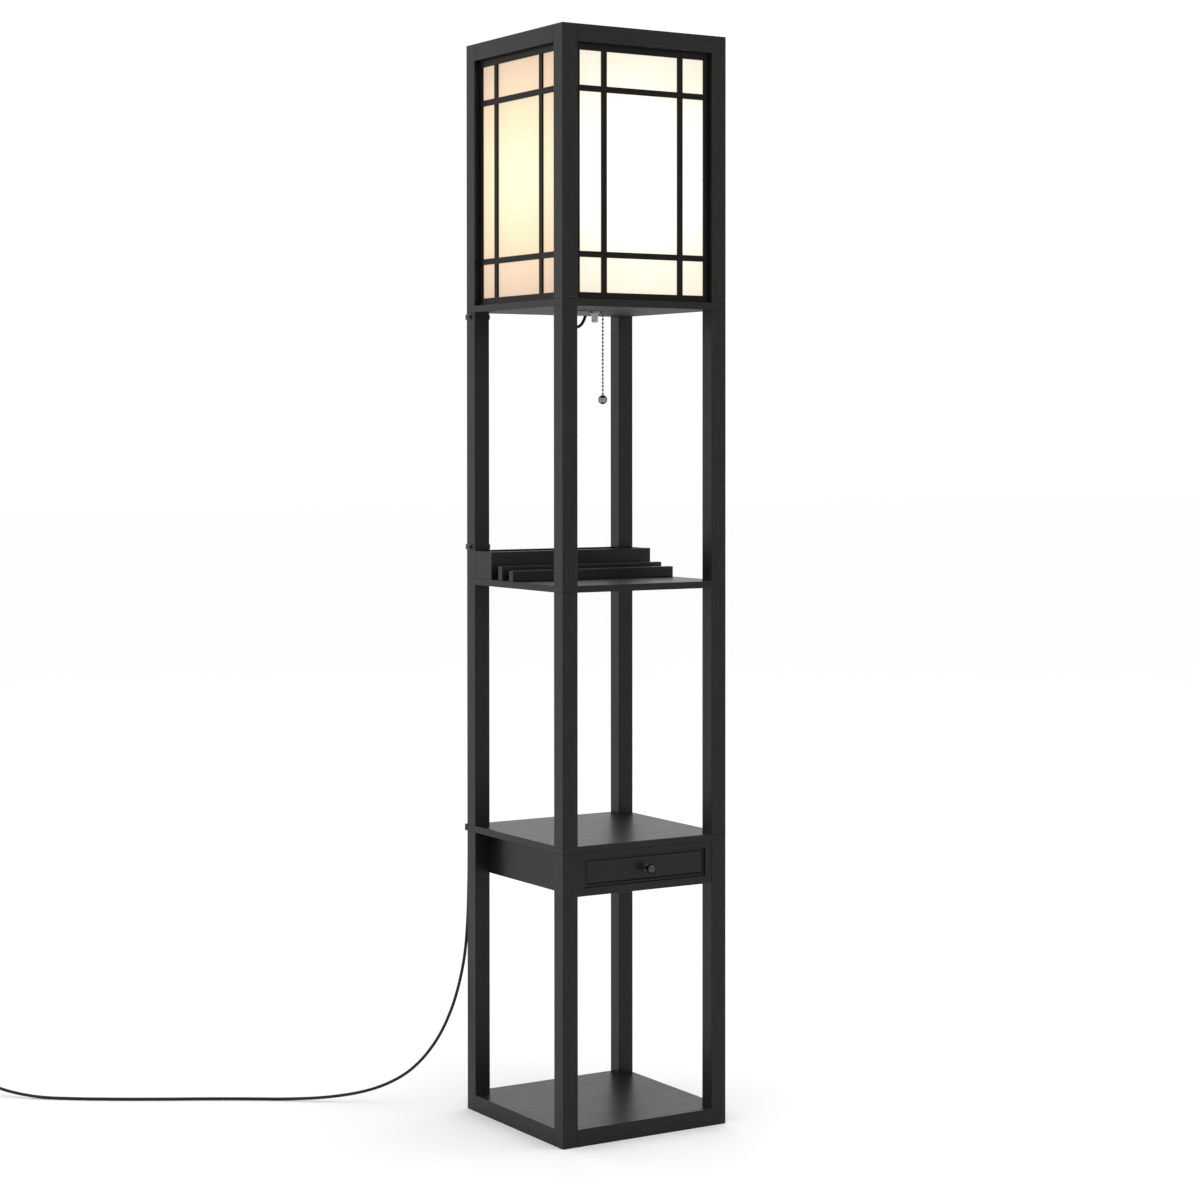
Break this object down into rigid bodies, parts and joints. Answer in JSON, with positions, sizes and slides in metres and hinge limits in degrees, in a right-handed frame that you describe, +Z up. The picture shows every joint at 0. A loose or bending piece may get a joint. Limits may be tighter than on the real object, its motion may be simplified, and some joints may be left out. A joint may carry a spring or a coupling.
{
  "type": "shelf floor lamp",
  "caption": "Slim square shelf tower with open bays, a small drawer, a stepped organiser and a lit lattice lantern with a pull chain on top.",
  "frame": {"origin": "middle of the square footprint, on the floor", "axes": "+Z up; the drawer and the front face -Y; the left side, where the lead leaves, is -X"},
  "size_m": [0.9403, 0.8277, 1.6],
  "materials": {
    "black_lacquered_wood": "satin black lacquer over fibreboard and softwood",
    "lattice_wood": "satin black lacquer",
    "drawer_box_wood": "black stained plywood",
    "dowel_beech": "plain fluted beech",
    "zinc_steel": "zinc plated",
    "gunmetal": "gunmetal, satin",
    "black_screw_steel": "black oxide",
    "black_nylon": "moulded nylon",
    "diffuser_sheet": "laminated rice-paper-look film, lit from behind",
    "holder_black_plastic": "phenolic",
    "bulb_cap_metal": "nickel plated",
    "frosted_glass": "frosted inside",
    "chain_steel": "nickel plated",
    "grey_plastic": "moulded",
    "black_rubber": "matt",
    "cord_jacket": "soft black cable jacket",
    "plug_plastic": "moulded black plug",
    "plug_brass": "nickel-dulled brass"
  },
  "bodies": {
    "stand": {"base_panel": "black_lacquered_wood", "base_rail_back": "black_lacquered_wood", "base_rail_front": "black_lacquered_wood", "base_rail_left": "black_lacquered_wood", "base_rail_right": "black_lacquered_wood", "bulb_globe": "frosted_glass", "bulb_screw_cap": "bulb_cap_metal", "case_back": "black_lacquered_wood", "case_bottom": "black_lacquered_wood", "case_front_frame": "black_lacquered_wood", "case_sides": "black_lacquered_wood", "chain_guide": "chain_steel", "clip_screws": "black_screw_steel", "cord_clamp": "grey_plastic", "cord_clips": "black_nylon", "cord_coil": "cord_jacket", "cord_grommet": "black_rubber", "cord_tie": "black_nylon", "diffuser_sheets": "diffuser_sheet", "drawer_runners": "drawer_box_wood", "joint_studs": "zinc_steel", "lamp_cord": "cord_jacket", "lampholder_cap": "holder_black_plastic", "lampholder_nipple": "zinc_steel", "lampholder_shell": "holder_black_plastic", "lantern_board": "black_lacquered_wood", "lantern_panel_back": "lattice_wood", "lantern_panel_front": "lattice_wood", "lantern_panel_left": "lattice_wood", "lantern_panel_right": "lattice_wood", "lantern_posts": "black_lacquered_wood", "lower_posts": "black_lacquered_wood", "lower_shelf": "black_lacquered_wood", "middle_posts": "black_lacquered_wood", "middle_shelf": "black_lacquered_wood", "nipple_nuts": "zinc_steel", "organiser_back_board": "black_lacquered_wood", "organiser_end_boards": "black_lacquered_wood", "organiser_front_board": "black_lacquered_wood", "organiser_front_rail": "black_lacquered_wood", "organiser_middle_rail": "black_lacquered_wood", "plug_blades": "plug_brass", "plug_body": "plug_plastic", "power_cord": "cord_jacket", "rail_dowels": "dowel_beech", "switch_body": "holder_black_plastic", "top_corner_blocks": "black_lacquered_wood", "top_rails": "black_lacquered_wood", "upper_posts": "black_lacquered_wood"},
    "drawer": {"drawer_front": "black_lacquered_wood", "drawer_sides": "drawer_box_wood", "drawer_back": "drawer_box_wood", "drawer_bottom": "drawer_box_wood", "drawer_knob": "gunmetal", "drawer_knob_screw": "zinc_steel"},
    "pull_rod": {"pull_rod": "chain_steel"},
    "chain_upper": {"pull_chain_upper": "chain_steel"},
    "chain_lower": {"pull_chain_lower": "chain_steel", "pull_ball": "chain_steel"}
  },
  "joints": [
    {"name": "drawer_slide", "type": "slide", "parent": "stand", "child": "drawer", "axis": [0, -1, 0], "range_m": [0, 0.15]},
    {"name": "pull_switch", "type": "slide", "parent": "stand", "child": "pull_rod", "axis": [0, 0, -1], "range_m": [0, 0.012], "stiffness_N_per_m": 150, "springref_m": -0.01},
    {"name": "chain_swing", "type": "hinge", "parent": "pull_rod", "child": "chain_upper", "pos_m": [0.014, 0, 1.1937], "axis": [0, 1, 0], "range_deg": [-30, 30]},
    {"name": "chain_bend", "type": "hinge", "parent": "chain_upper", "child": "chain_lower", "pos_m": [0.014, 0, 1.1337], "axis": [1, 0, 0], "range_deg": [-30, 30]}
  ]
}
